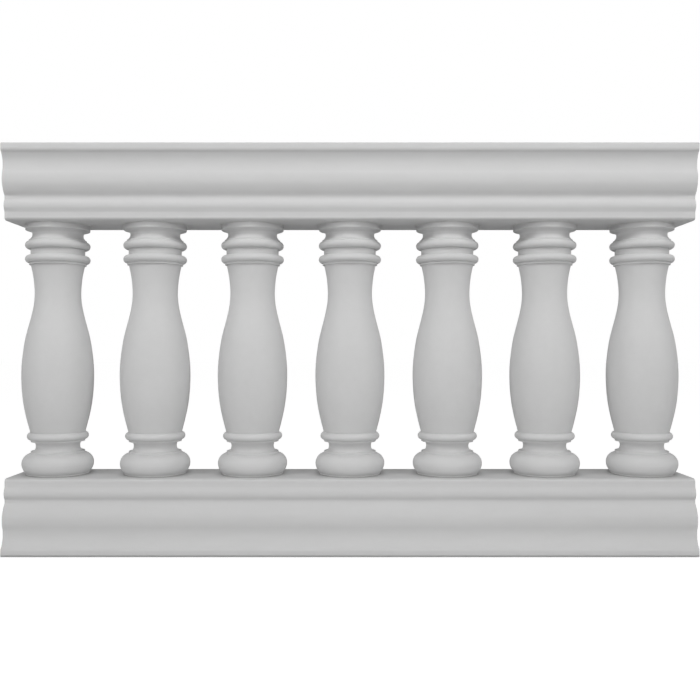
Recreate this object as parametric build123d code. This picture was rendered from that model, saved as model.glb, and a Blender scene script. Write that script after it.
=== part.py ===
from build123d import *
from math import acos, atan2, cos, sin
import os

# Moulded fibreglass balustrade section: seven turned balusters between a
# moulded top rail and a moulded bottom rail.  Millimetres, +Z up, +X along the
# rails, front towards -Y, origin at the centre of the underside.

# ---- overall ---------------------------------------------------------------
LENGTH = 1541.5            # rail length
HEIGHT = 914.4             # floor to top of rail
PITCH = 226.55             # baluster spacing, centre to centre
COUNT = 7                  # balusters
RAIL_H = 168.6             # height of each rail
BAL_H = HEIGHT - 2 * RAIL_H
MID_Z = HEIGHT / 2

# ---- rail section ------------------------------------------------------------
# Half depths d at heights h, measured from the face that meets the balusters.
ARRIS_W, ARRIS_H = 9.6, 7.0  # worn arris beside the balusters: width and drop
D_FLAT = 84.6              # half depth just above the arris
# (d, h) along the front: small torus, hollow quirk, large ovolo, cove
FACE = [(84.6, 13.3), (84.7, 17.2), (85.3, 19.9), (86.7, 22.7), (88.2, 25.4),
        (89.4, 28.2), (90.0, 31.0), (90.0, 34.0), (89.6, 37.3), (88.6, 40.3),
        (87.0, 43.2), (84.9, 46.2), (84.5, 47.9), (84.5, 50.5), (84.5, 53.2),
        (84.9, 55.0), (86.9, 57.5), (89.2, 60.1), (91.2, 62.6), (93.2, 65.9), (95.4, 70.4),
        (97.3, 75.0), (99.0, 79.7), (100.0, 85.5), (100.2, 92.0), (99.9, 97.8),
        (99.1, 102.0), (97.8, 105.8), (96.3, 109.5), (95.4, 113.2), (95.0, 117.4),
        (94.9, 122.8), (95.1, 127.4), (95.6, 130.9), (96.8, 135.1), (98.4, 139.1),
        (100.1, 142.6), (101.9, 145.8)]
BOARD_T = 19.8             # flat board that closes the moulding
D_COVE = 103.9             # lip of the cove, under the board
D_BOARD = 108.4            # half width of that board
BOARD_R = 4.6              # its eased outer edges
LIP_H = 8.6                # height of its rounded edges over the cove
WALL = 6.0                 # laminate thickness
H_OPEN = RAIL_H - BOARD_T  # where the moulding meets the board

# ---- end plates ---------------------------------------------------------------
PLATE_T = 8.0
BOLT_R = 5.5               # clearance for M10
BOLT_Y = 100.0             # hole spacing across
BOLT_Z = 90.0              # hole spacing up

# ---- baluster profile, z measured from mid height ------------------------------
R_SEAT = 70.2              # footing ring on the rail
R_FOOT, Z_FOOT, C_FOOT = 24.0, -262.9, 56.2     # big base torus, upper half
R_FOOT_LOW = 29.0                               # and its fuller lower half
R_FIL_A, Z_FIL_A = 60.1, -235.0                 # fillet over the torus
NECK = [(56.6, -234.8), (52.9, -233.2), (50.6, -230.5), (49.4, -226.8), (49.0, -222.4)]
R_NECK_C, Z_NECK = 51.2, -212.8                 # top of the neck
R_FIL_B = 60.3                                  # fillet under the lower bead
R_BEAD_C, Z_BEAD_C, C_BEAD_C = 9.0, -200.0, 59.6
R_SHAFT0 = 61.0
SHAFT = [(67.2, -167.4), (73.4, -139.4), (77.6, -111.5), (80.0, -78.8),
         (80.4, -60.2), (79.4, -32.2), (75.8, 0.4), (71.1, 28.3),
         (64.0, 56.3), (57.0, 84.2), (52.8, 107.5), (51.4, 133.2),
         (52.7, 154.1), (55.1, 172.8)]
R_SHAFT1, Z_SHAFT1 = 59.8, 195.4
R_FIL_D = 63.5                                  # fillet over the shaft
R_BEAD_B, Z_BEAD_B, C_BEAD_B = 8.9, 208.6, 63.5
R_BAND = 60.3                                   # plain band between the beads
R_BEAD_A, Z_BEAD_A, C_BEAD_A = 9.1, 240.7, 63.2
R_FIL_E, Z_FIL_E = 64.4, 252.7                  # fillet over the upper bead
R_TOPNECK, Z_TOPNECK0, Z_TOPNECK1 = 56.6, 264.1, 266.9
R_COLLAR, Z_COLLAR = 71.9, 275.5                # collar under the top rail


def half_face(edges):
    return Face(Wire(edges))


def rail_outer():
    """Half outline of the moulding: d across, h away from the balusters."""
    flat0 = D_FLAT - ARRIS_W
    front = [(D_FLAT, ARRIS_H)] + FACE + [(D_COVE, H_OPEN)]
    return half_face([
        Line((0, 0), (flat0, 0)),
        Spline([(flat0, 0), (D_FLAT - 5.0, 0.9), (D_FLAT - 2.0, 2.5),
                (D_FLAT - 0.6, 4.2), (D_FLAT, ARRIS_H)],
               tangents=[(1.0, 0.0), (0.0, 1.0)]),
        Spline(front, tangents=[(0.0, 1.0), (0.9, 1.0)]),
        Line((D_COVE, H_OPEN), (0, H_OPEN)),
        Line((0, H_OPEN), (0, 0)),
    ])


def rail_inner(top):
    """Half outline of the hollow inside the moulding, up to h = top."""
    pts = [(0, WALL + 1), (D_FLAT - ARRIS_W, WALL + 1), (D_FLAT - WALL, 12.5),
           (D_FLAT - WALL - 0.6, 54.0), (86.2, 66.0), (91.2, 75.5), (93.9, 84.5),
           (94.1, 92.0), (93.8, 98.5), (91.6, 106.5), (89.4, 113.0), (89.0, 124.5),
           (90.2, 133.0), (93.2, 142.0), (96.4, H_OPEN), (96.4, top), (0, top)]
    pts = [p for i, p in enumerate(pts) if i == 0 or p != pts[i - 1]]
    return Face(Wire.make_polygon([Vector(x, y) for x, y in pts], close=True))


def along_x(face, x0, length):
    """Stand the half outline up as (y, z), run it along X and double it in Y."""
    plane = Plane(origin=(x0, 0, 0), x_dir=(0, 1, 0), z_dir=(1, 0, 0))
    half = extrude(plane * face, amount=length, dir=(1, 0, 0))
    return (half + half.mirror(Plane.XZ)).clean()


# ---- rail pieces, modelled with the baluster side at z = 0 ------------------------
x0 = -LENGTH / 2
moulding = along_x(rail_outer(), x0, LENGTH) - along_x(
    rail_inner(H_OPEN + 5), x0 - 5, LENGTH + 10)

lip = D_BOARD - D_COVE
lip_r = (lip * lip + LIP_H * LIP_H) / (2 * lip)
half = atan2(LIP_H, lip_r - lip) / 2
board = along_x(half_face([
    Line((0, H_OPEN), (D_COVE, H_OPEN)),
    ThreePointArc((D_COVE, H_OPEN),
                  (D_BOARD - lip_r * (1 - cos(half)), H_OPEN + LIP_H - lip_r * sin(half)),
                  (D_BOARD, H_OPEN + LIP_H)),
    Line((D_BOARD, H_OPEN + LIP_H), (D_BOARD, RAIL_H - BOARD_R)),
    ThreePointArc((D_BOARD, RAIL_H - BOARD_R),
                  (D_BOARD - BOARD_R * (1 - 0.5 ** 0.5), RAIL_H - BOARD_R * (1 - 0.5 ** 0.5)),
                  (D_BOARD - BOARD_R, RAIL_H)),
    Line((D_BOARD - BOARD_R, RAIL_H), (0, RAIL_H)),
    Line((0, RAIL_H), (0, H_OPEN)),
]), x0, LENGTH)

plug = along_x(rail_inner(H_OPEN), 0, PLATE_T)
hole_z = H_OPEN / 2 + 3
for y in (-BOLT_Y / 2, BOLT_Y / 2):
    for dz in (-BOLT_Z / 2, BOLT_Z / 2):
        plug = plug - Cylinder(BOLT_R, 4 * PLATE_T, rotation=(0, 90, 0)).moved(
            Location((0, y, hole_z + dz)))


def in_top(shape):
    return shape.moved(Location((0, 0, HEIGHT - RAIL_H)))


def in_bottom(shape):
    """The bottom rail is the same section upside down."""
    return shape.mirror(Plane.XY).moved(Location((0, 0, RAIL_H)))


left, right = Location((x0, 0, 0)), Location((-x0 - PLATE_T, 0, 0))
pieces = {
    "top_rail_moulding": in_top(moulding),
    "top_rail_cap_board": in_top(board),
    "top_rail_left_end_plate": in_top(plug.moved(left)),
    "top_rail_right_end_plate": in_top(plug.moved(right)),
    "bottom_rail_moulding": in_bottom(moulding),
    "bottom_rail_base_board": in_bottom(board),
    "bottom_rail_left_end_plate": in_bottom(plug.moved(left)),
    "bottom_rail_right_end_plate": in_bottom(plug.moved(right)),
}


# ---- balusters ---------------------------------------------------------------------
def bead(c, z, r, lo, hi):
    """Half-round moulding between the plain radii lo (below) and hi (above)."""
    dz_lo = (r * r - (lo - c) ** 2) ** 0.5 if lo > c else r
    dz_hi = (r * r - (hi - c) ** 2) ** 0.5 if hi > c else r
    a = (max(lo, c), z - dz_lo)
    b = (max(hi, c), z + dz_hi)
    out = [Line((lo, a[1]), a)] if lo < c else []
    out.append(ThreePointArc(a, (c + r, z), b))
    if hi < c:
        out.append(Line(b, (hi, b[1])))
    return out, a[1], b[1]


def baluster():
    half = BAL_H / 2
    r_max = C_FOOT + R_FOOT
    c_low = r_max - R_FOOT_LOW
    turn = acos((R_SEAT - c_low) / R_FOOT_LOW)
    foot_low = Z_FOOT - R_FOOT_LOW * sin(turn)
    foot_top = Z_FOOT + (R_FOOT ** 2 - (R_FIL_A - C_FOOT) ** 2) ** 0.5
    up = acos((R_FIL_A - C_FOOT) / R_FOOT)
    foot = [ThreePointArc((R_SEAT, foot_low),
                          (c_low + R_FOOT_LOW * cos(turn / 2),
                           Z_FOOT - R_FOOT_LOW * sin(turn / 2)), (r_max, Z_FOOT)),
            ThreePointArc((r_max, Z_FOOT),
                          (C_FOOT + R_FOOT * cos(up / 2), Z_FOOT + R_FOOT * sin(up / 2)),
                          (R_FIL_A, foot_top))]
    lower, low_c, top_c = bead(C_BEAD_C, Z_BEAD_C, R_BEAD_C, R_FIL_B, R_SHAFT0)
    mid, low_b, top_b = bead(C_BEAD_B, Z_BEAD_B, R_BEAD_B, R_FIL_D, R_BAND)
    upper, low_a, top_a = bead(C_BEAD_A, Z_BEAD_A, R_BEAD_A, R_BAND, R_FIL_E)
    e = [Line((0, -half), (R_SEAT, -half)),
         Line((R_SEAT, -half), (R_SEAT, foot_low))]
    e += foot
    e += [Line((R_FIL_A, foot_top), (R_FIL_A, Z_FIL_A)),
          Spline([(R_FIL_A, Z_FIL_A)] + NECK + [(R_NECK_C, Z_NECK)],
                 tangents=[(-1.0, 0.12), (0.25, 1.0)]),
          Line((R_NECK_C, Z_NECK), (R_FIL_B, Z_NECK)),
          Line((R_FIL_B, Z_NECK), (R_FIL_B, low_c))]
    e += lower
    e += [Spline([(R_SHAFT0, top_c)] + SHAFT + [(R_SHAFT1, Z_SHAFT1)],
                 tangents=[(0.27, 1.0), (0.2, 1.0)]),
          Line((R_SHAFT1, Z_SHAFT1), (R_FIL_D, Z_SHAFT1)),
          Line((R_FIL_D, Z_SHAFT1), (R_FIL_D, low_b))]
    e += mid
    e += [Line((R_BAND, top_b), (R_BAND, low_a))]
    e += upper
    e += [Line((R_FIL_E, top_a), (R_FIL_E, Z_FIL_E)),
          Spline([(R_FIL_E, Z_FIL_E), (59.5, 257.0), (R_TOPNECK, Z_TOPNECK0)],
                 tangents=[(-1.0, 0.35), (0.0, 1.0)]),
          Line((R_TOPNECK, Z_TOPNECK0), (R_TOPNECK, Z_TOPNECK1)),
          Spline([(R_TOPNECK, Z_TOPNECK1), (60.6, 272.3), (R_COLLAR - 1.0, Z_COLLAR)],
                 tangents=[(0.0, 1.0), (1.0, 0.12)]),
          Line((R_COLLAR - 1.0, Z_COLLAR), (R_COLLAR, Z_COLLAR + 1.0)),
          Line((R_COLLAR, Z_COLLAR + 1.0), (R_COLLAR, half)),
          Line((R_COLLAR, half), (0, half)),
          Line((0, half), (0, -half))]
    face = Plane.XZ * half_face(e)
    return revolve(face, Axis.Z, 360).moved(Location((0, 0, MID_Z)))


one = baluster()
for i in range(COUNT):
    x = (i - (COUNT - 1) / 2) * PITCH
    pieces[f"baluster_{i + 1}"] = one.moved(Location((x, 0, 0)))

os.makedirs("parts", exist_ok=True)
for name, shape in pieces.items():
    export_step(shape, f"parts/{name}.step")
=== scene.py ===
import math

import bmesh
import bpy
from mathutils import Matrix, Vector


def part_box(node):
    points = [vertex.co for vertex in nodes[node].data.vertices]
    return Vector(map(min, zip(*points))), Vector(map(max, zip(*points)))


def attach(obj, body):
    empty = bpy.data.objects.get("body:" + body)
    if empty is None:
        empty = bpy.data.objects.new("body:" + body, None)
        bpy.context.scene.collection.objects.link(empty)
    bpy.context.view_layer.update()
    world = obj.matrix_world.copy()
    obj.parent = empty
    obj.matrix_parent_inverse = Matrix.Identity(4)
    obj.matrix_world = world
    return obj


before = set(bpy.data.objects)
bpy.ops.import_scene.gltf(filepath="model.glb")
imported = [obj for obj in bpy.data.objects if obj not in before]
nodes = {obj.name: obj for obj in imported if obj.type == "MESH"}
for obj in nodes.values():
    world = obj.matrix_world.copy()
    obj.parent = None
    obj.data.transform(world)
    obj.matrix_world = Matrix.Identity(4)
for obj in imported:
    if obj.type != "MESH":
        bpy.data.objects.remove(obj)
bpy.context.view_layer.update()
scene = bpy.context.scene

# ---------------------------------------------------------------- dimensions (metres)
PITCH, COUNT = 0.22655, 7
DECK_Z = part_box("bottom_rail_moulding")[1].z      # where the balusters stand
SOFFIT_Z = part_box("top_rail_moulding")[0].z       # and what they carry
SEAT_R, COLLAR_R = 0.0702, 0.0719                 # baluster radius at each end
BEAD = 0.0021                                     # sealant fillet
AXES = [(i - (COUNT - 1) / 2) * PITCH for i in range(COUNT)]


# ---------------------------------------------------------------- node helpers
class Nodes:
    def __init__(self, name):
        self.mat = bpy.data.materials.new(name)
        self.mat.use_nodes = True
        self.nt = self.mat.node_tree
        self.shader = self.nt.nodes["Principled BSDF"]
        self.x = -1600

    def add(self, kind, **values):
        n = self.nt.nodes.new(kind)
        n.location = (self.x, 0)
        self.x += 40
        for key, v in values.items():
            if hasattr(n, key):
                setattr(n, key, v)
            else:
                n.inputs[key.replace("_", " ")].default_value = v
        return n

    def link(self, out, inp):
        self.nt.links.new(out, inp)

    def noise(self, vector, scale, detail=3.0, rough=0.5, distortion=0.0):
        n = self.add("ShaderNodeTexNoise", Scale=scale, Detail=detail, Roughness=rough,
                     Distortion=distortion)
        self.link(vector, n.inputs["Vector"])
        return n.outputs[0]

    def span(self, value, lo, hi, to_lo, to_hi, smooth=False):
        n = self.add("ShaderNodeMapRange", From_Min=lo, From_Max=hi, To_Min=to_lo, To_Max=to_hi)
        if smooth:
            n.interpolation_type = "SMOOTHSTEP"
        self.link(value, n.inputs["Value"])
        return n.outputs[0]

    def math(self, op, a, b=None, clamp=False):
        n = self.add("ShaderNodeMath", operation=op, use_clamp=clamp)
        for i, v in enumerate((a, b)):
            if v is None:
                continue
            if isinstance(v, (int, float)):
                n.inputs[i].default_value = v
            else:
                self.link(v, n.inputs[i])
        return n.outputs[0]

    def tint(self, colour, factor):
        """colour times a factor that varies over the surface."""
        n = self.add("ShaderNodeVectorMath", operation="SCALE")
        if isinstance(colour, tuple):
            n.inputs[0].default_value = colour
        else:
            self.link(colour, n.inputs[0])
        self.link(factor, n.inputs["Scale"])
        return n.outputs[0]

    def bump(self, height, distance, normal=None, strength=1.0):
        n = self.add("ShaderNodeBump", Strength=strength, Distance=distance)
        self.link(height, n.inputs["Height"])
        if normal is not None:
            self.link(normal, n.inputs["Normal"])
        return n.outputs[0]

    def coords(self, stretch=(1.0, 1.0, 1.0), shift=(0.0, 0.0, 0.0)):
        tc = self.add("ShaderNodeTexCoord")
        m = self.add("ShaderNodeMapping")
        m.inputs["Scale"].default_value = stretch
        m.inputs["Location"].default_value = shift
        self.link(tc.outputs["Object"], m.inputs["Vector"])
        return m.outputs[0]


# ---------------------------------------------------------------- materials
def gelcoat(name, base, shift, along=1.0, seam=False, reach=0.009, held=0.92):
    """Sprayed, matt moulding coat: soft mottling, fine grain, pinholes, orange peel.

    along stretches the mottling along the rail; seam adds the dressed mould line
    down both flanks of a turned piece; reach and held are how far out of a joint
    the painted shade (the coat darkened by ambient occlusion) comes and how pale it leaves the
    coat."""
    k = Nodes(name)
    at = k.coords(shift=shift)
    drawn = k.coords(stretch=(1.0 / along, 1.0, 1.0), shift=shift)
    cloud = k.noise(drawn, 5.0, 4.0, 0.55)
    mottle = k.noise(drawn, 46.0, 4.0, 0.6)
    grain = k.noise(at, 1100.0, 2.0, 0.6)
    tone = k.math("MULTIPLY", k.span(cloud, 0.3, 0.7, 0.985, 1.013),
                  k.span(mottle, 0.25, 0.75, 0.988, 1.012))
    tone = k.math("MULTIPLY", tone, k.span(grain, 0.2, 0.8, 0.975, 1.025))
    # pinholes: sparse dots, a third of a millimetre across
    cell = k.add("ShaderNodeTexVoronoi", Scale=210.0, Randomness=1.0)
    k.link(at, cell.inputs["Vector"])
    dot = k.span(cell.outputs["Distance"], 0.05, 0.1, 1.0, 0.0, True)
    where = k.span(k.noise(at, 33.0, 2.0, 0.5), 0.60, 0.66, 0.0, 1.0)
    hole = k.math("MULTIPLY", dot, where)
    tone = k.math("MULTIPLY", tone, k.span(hole, 0.0, 1.0, 1.0, 0.8))
    # painted shade: ambient occlusion darkens the coat in the sunk lines and joints
    crease_shade = k.add("ShaderNodeAmbientOcclusion", samples=6, Distance=reach)
    tone = k.math("MULTIPLY", tone, k.span(crease_shade.outputs["AO"], 0.2, 0.85, held, 1.0))
    k.link(k.tint(base, tone), k.shader.inputs["Base Color"])
    k.link(k.math("ADD", k.span(mottle, 0.25, 0.75, 0.52, 0.64),
                  k.span(grain, 0.2, 0.8, -0.03, 0.03)), k.shader.inputs["Roughness"])
    k.shader.inputs["Specular IOR Level"].default_value = 0.3
    # hand-laid surface: long soft waves, orange peel, grain, pinholes
    normal = k.bump(k.noise(drawn, 11.0, 1.0, 0.4), 0.00035)
    normal = k.bump(k.noise(at, 380.0, 1.5, 0.5), 0.00004, normal)
    normal = k.bump(grain, 0.00001, normal)
    normal = k.bump(k.math("SUBTRACT", 1.0, hole), 0.00015, normal)
    if seam:
        split = k.add("ShaderNodeSeparateXYZ")
        k.link(at, split.inputs[0])
        off = k.math("ABSOLUTE", k.math("ADD", split.outputs["Y"], -shift[1]))
        ridge = k.span(off, 0.0003, 0.0013, 1.0, 0.0, True)
        worn = k.span(k.noise(at, 60.0, 3.0, 0.6), 0.35, 0.65, 0.25, 1.0)
        normal = k.bump(k.math("MULTIPLY", ridge, worn), 0.00018, normal)
    k.link(normal, k.shader.inputs["Normal"])
    return k.mat


def laminate(name):
    """Bare woven glass and resin on the closing plates."""
    k = Nodes(name)
    at = k.coords()
    split = k.add("ShaderNodeSeparateXYZ")
    k.link(at, split.inputs[0])
    wobble = k.math("MULTIPLY", k.math("SUBTRACT", k.noise(at, 30.0, 2.0, 0.5), 0.5), 0.9)

    def strands(axis, step):
        turn = k.math("ADD", k.math("MULTIPLY", split.outputs[axis], 2 * math.pi / step), wobble)
        return k.math("SINE", turn)

    a, b = strands("Y", 0.0052), strands("Z", 0.0052)
    over = k.math("MULTIPLY", a, b)
    tow = k.span(over, -1.0, 1.0, 0.0, 1.0, True)
    fibre = k.noise(k.coords(stretch=(60.0, 14.0, 60.0)), 22.0, 2.0, 0.6)
    resin = k.noise(at, 14.0, 4.0, 0.6)
    ramp = k.add("ShaderNodeValToRGB")
    ramp.color_ramp.elements[0].color = (0.36, 0.37, 0.33, 1)
    ramp.color_ramp.elements[1].color = (0.58, 0.58, 0.54, 1)
    mixed = k.math("ADD", k.math("MULTIPLY", tow, 0.45), k.math("MULTIPLY", resin, 0.6))
    k.link(k.math("ADD", mixed, k.math("MULTIPLY", k.math("SUBTRACT", fibre, 0.5), 0.35), True),
           ramp.inputs["Fac"])
    k.link(ramp.outputs["Color"], k.shader.inputs["Base Color"])
    k.link(k.span(resin, 0.3, 0.7, 0.34, 0.58), k.shader.inputs["Roughness"])
    normal = k.bump(tow, 0.0004)
    normal = k.bump(fibre, 0.00008, normal)
    normal = k.bump(resin, 0.0006, normal)
    k.link(normal, k.shader.inputs["Normal"])
    k.shader.inputs["Specular IOR Level"].default_value = 0.45
    return k.mat


def sealant(name, shade):
    """Tooled joint sealant."""
    k = Nodes(name)
    at = k.coords()
    smear = k.noise(at, 70.0, 3.0, 0.6)
    k.link(k.tint((shade, shade, shade * 0.985), k.span(smear, 0.3, 0.7, 0.9, 1.06)),
           k.shader.inputs["Base Color"])
    k.link(k.span(smear, 0.3, 0.7, 0.45, 0.7), k.shader.inputs["Roughness"])
    k.link(k.bump(smear, 0.0003), k.shader.inputs["Normal"])
    return k.mat


GREY = (0.613, 0.613, 0.613)
PALE = (0.630, 0.630, 0.630)                      # the balusters, a shade lighter: painted light, brightening the shafts beyond what the lamps give them
# the rails take deeper painted shade out of their joints, darkening the deck round the feet and
# the sunk lines
rail_coat = gelcoat("rail_gelcoat", GREY, (3.7, 0.0, 1.3), along=3.0, reach=0.020, held=0.76)
baluster_coats = [gelcoat(f"baluster_gelcoat_{i + 1}", PALE, (1.9 * i, 0.0, 0.7 * i), seam=True)
                  for i in range(COUNT)]
plate_finish = laminate("bare_laminate")
# a sealant bead round each foot, its dark grey is painted shade standing in for the contact
# shadow on the deck
foot_shade_finish = sealant("foot_shade_sealant", 0.33)
collar_finish = sealant("collar_sealant", 0.60)

for name, o in nodes.items():
    o.data.materials.clear()
    if name.startswith("baluster"):
        o.data.materials.append(baluster_coats[int(name[-1]) - 1])
    elif name.endswith("end_plate"):
        o.data.materials.append(plate_finish)
    else:
        o.data.materials.append(rail_coat)


# ---------------------------------------------------------------- sealant at the joints
def joint_fillet(name, x, radius, z, up, finish):
    """Concave fillet of sealant round a baluster, against the rail at height z.

    up is +1 on the lower rail's deck and -1 under the upper rail."""
    s = -up
    section = [(radius - 0.0006, z + s * 0.0004), (radius + BEAD, z + s * 0.0004)]
    for i in range(7):
        a = i / 6 * math.pi / 2
        section.append((radius + BEAD - BEAD * math.sin(a), z + up * BEAD * (1 - math.cos(a))))
    section.append((radius - 0.0006, z + up * BEAD))
    bm = bmesh.new()
    rings = []
    steps = 96
    for j in range(steps):
        t = j / steps * 2 * math.pi
        # tooled by hand, so it is a little uneven
        swell = 1 + 0.10 * math.sin(3 * t + 9 * x) + 0.06 * math.sin(7 * t + 31 * x)
        rings.append([bm.verts.new((x + (radius + (r - radius) * swell) * math.cos(t),
                                    (radius + (r - radius) * swell) * math.sin(t),
                                    z + (h - z) * (swell if (h - z) * up > 0 else 1)))
                      for r, h in section])
    n = len(section)
    for j in range(steps):
        a, b = rings[j], rings[(j + 1) % steps]
        for i in range(n):
            bm.faces.new((a[i], b[i], b[(i + 1) % n], a[(i + 1) % n]))
    bmesh.ops.recalc_face_normals(bm, faces=bm.faces)
    me = bpy.data.meshes.new(name)
    bm.to_mesh(me)
    bm.free()
    for p in me.polygons:
        p.use_smooth = True
    me.materials.append(finish)
    o = bpy.data.objects.new(name, me)
    scene.collection.objects.link(o)
    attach(o, "root")
    return o


for i, x in enumerate(AXES):
    # the foot bead's dark grey is painted shade for the contact shadow at each foot
    joint_fillet(f"foot_shade_sealant_{i + 1}", x, SEAT_R, DECK_Z, 1, foot_shade_finish)
    joint_fillet(f"collar_sealant_{i + 1}", x, COLLAR_R, SOFFIT_Z, -1, collar_finish)


# ---------------------------------------------------------------- floor
def plane(name, size, z):
    me = bpy.data.meshes.new(name)
    me.from_pydata([(-size, -size, z), (size, -size, z), (size, size, z), (-size, size, z)],
                   [], [(0, 1, 2, 3)])
    o = bpy.data.objects.new(name, me)
    scene.collection.objects.link(o)
    return o


floor = plane("floor", 30.0, 0.0)
fm = bpy.data.materials.new("floor_pale")
fm.use_nodes = True
fs = fm.node_tree.nodes["Principled BSDF"]
fs.inputs["Base Color"].default_value = (0.3, 0.3, 0.3, 1)
fs.inputs["Roughness"].default_value = 0.9
fs.inputs["Specular IOR Level"].default_value = 0.0
fs.inputs["Emission Color"].default_value = (1, 1, 1, 1)
near = fm.node_tree.nodes.new("ShaderNodeAmbientOcclusion")     # a thin contact shadow
near.samples = 8
near.inputs["Distance"].default_value = 0.012
glow = fm.node_tree.nodes.new("ShaderNodeMapRange")
glow.inputs["From Min"].default_value, glow.inputs["From Max"].default_value = 0.3, 0.95
glow.inputs["To Min"].default_value, glow.inputs["To Max"].default_value = 0.1, 0.9
fm.node_tree.links.new(near.outputs["AO"], glow.inputs["Value"])
fm.node_tree.links.new(glow.outputs[0], fs.inputs["Emission Strength"])
floor.data.materials.append(fm)
floor.visible_diffuse = floor.visible_glossy = floor.visible_shadow = False

# what the floor throws back up at the piece
bounce = plane("floor_bounce", 30.0, -0.001)
bm_ = bpy.data.materials.new("floor_bounce")
bm_.use_nodes = True
bs = bm_.node_tree.nodes["Principled BSDF"]
bs.inputs["Base Color"].default_value = (0.765, 0.765, 0.765, 1)
bs.inputs["Roughness"].default_value = 0.9
bs.inputs["Specular IOR Level"].default_value = 0.0
bounce.data.materials.append(bm_)
bounce.visible_camera = False

# ---------------------------------------------------------------- world and lights
world = bpy.data.worlds.new("studio")
scene.world = world
world.use_nodes = True
wt = world.node_tree
soft = wt.nodes["Background"]                     # light: a dim wall behind the piece
soft.inputs["Color"].default_value = (1, 1, 1, 1)
toward = wt.nodes.new("ShaderNodeTexCoord")
part = wt.nodes.new("ShaderNodeSeparateXYZ")
wall = wt.nodes.new("ShaderNodeMapRange")
wall.inputs["From Min"].default_value, wall.inputs["From Max"].default_value = -0.3, 0.3
wall.inputs["To Min"].default_value, wall.inputs["To Max"].default_value = 0.0, 0.373
wt.links.new(toward.outputs["Generated"], part.inputs[0])
wt.links.new(part.outputs["Y"], wall.inputs["Value"])
wt.links.new(wall.outputs[0], soft.inputs["Strength"])
white = wt.nodes.new("ShaderNodeBackground")      # seen: a plain white ground
white.inputs["Color"].default_value = (1, 1, 1, 1)
white.inputs["Strength"].default_value = 1.0
seen = wt.nodes.new("ShaderNodeLightPath")
pick = wt.nodes.new("ShaderNodeMixShader")
wt.links.new(seen.outputs["Is Camera Ray"], pick.inputs["Fac"])
wt.links.new(soft.outputs[0], pick.inputs[1])
wt.links.new(white.outputs[0], pick.inputs[2])
wt.links.new(pick.outputs[0], wt.nodes["World Output"].inputs["Surface"])


def place(name, data, location, direction):
    o = bpy.data.objects.new(name, data)
    o.location = location
    o.rotation_euler = direction.to_track_quat("Z", "Y").to_euler()
    o.visible_camera = False
    scene.collection.objects.link(o)


def far_lamp(name, az, el, strength, angle=7.0):
    """A distant lamp on each side; azimuth from the front, degrees."""
    for side, tag in ((1, "right"), (-1, "left")):
        d = bpy.data.lights.new(f"{name}_{tag}", "SUN")
        d.energy = strength
        d.angle = math.radians(angle)
        a, e = math.radians(az) * side, math.radians(el)
        place(d.name, d, (side * 3, -3, 2),
              Vector((math.sin(a) * math.cos(e), -math.cos(a) * math.cos(e), math.sin(e))))


def soft_box(name, x, y, z, watts):
    """A 1.0 by 0.5 m soft box aimed at the middle of the piece, on each side if x isn't 0."""
    for side in ((1, -1) if x else (1,)):
        d = bpy.data.lights.new(f"{name}_{side}", "AREA")
        d.shape = "RECTANGLE"
        d.size, d.size_y = 1.0, 0.5
        d.energy = watts
        at = Vector((side * x, y, z))
        place(d.name, d, at, at - Vector((0, 0, 0.457)))


far_lamp("front_quarter", 45, 10, 0.5035)
far_lamp("side_high", 60, 25, 0.218)
far_lamp("side_low", 80, 10, 0.130)
far_lamp("rim", 120, 10, 0.049)
soft_box("overhead", 0.0, -2.2, 3.1, 17.4)
soft_box("front", 0.0, -2.9, 0.9, 1.4)
soft_box("middle", 0.0, -2.2, 2.3, 7.3)
soft_box("near", 1.5, -1.2, 2.2, 7.1)
soft_box("wide", 2.5, -2.2, 2.3, 6.9)

# ---------------------------------------------------------------- camera
cam = bpy.data.cameras.new("camera")
cam.sensor_fit = "HORIZONTAL"
cam.sensor_width = 36.0
cam.lens = 44.157
co = bpy.data.objects.new("camera", cam)
co.location = (0.0002, -2.0003, 0.45604)
co.rotation_euler = (math.pi / 2, 0, 0)
scene.collection.objects.link(co)
scene.camera = co

scene.view_settings.view_transform = "Standard"
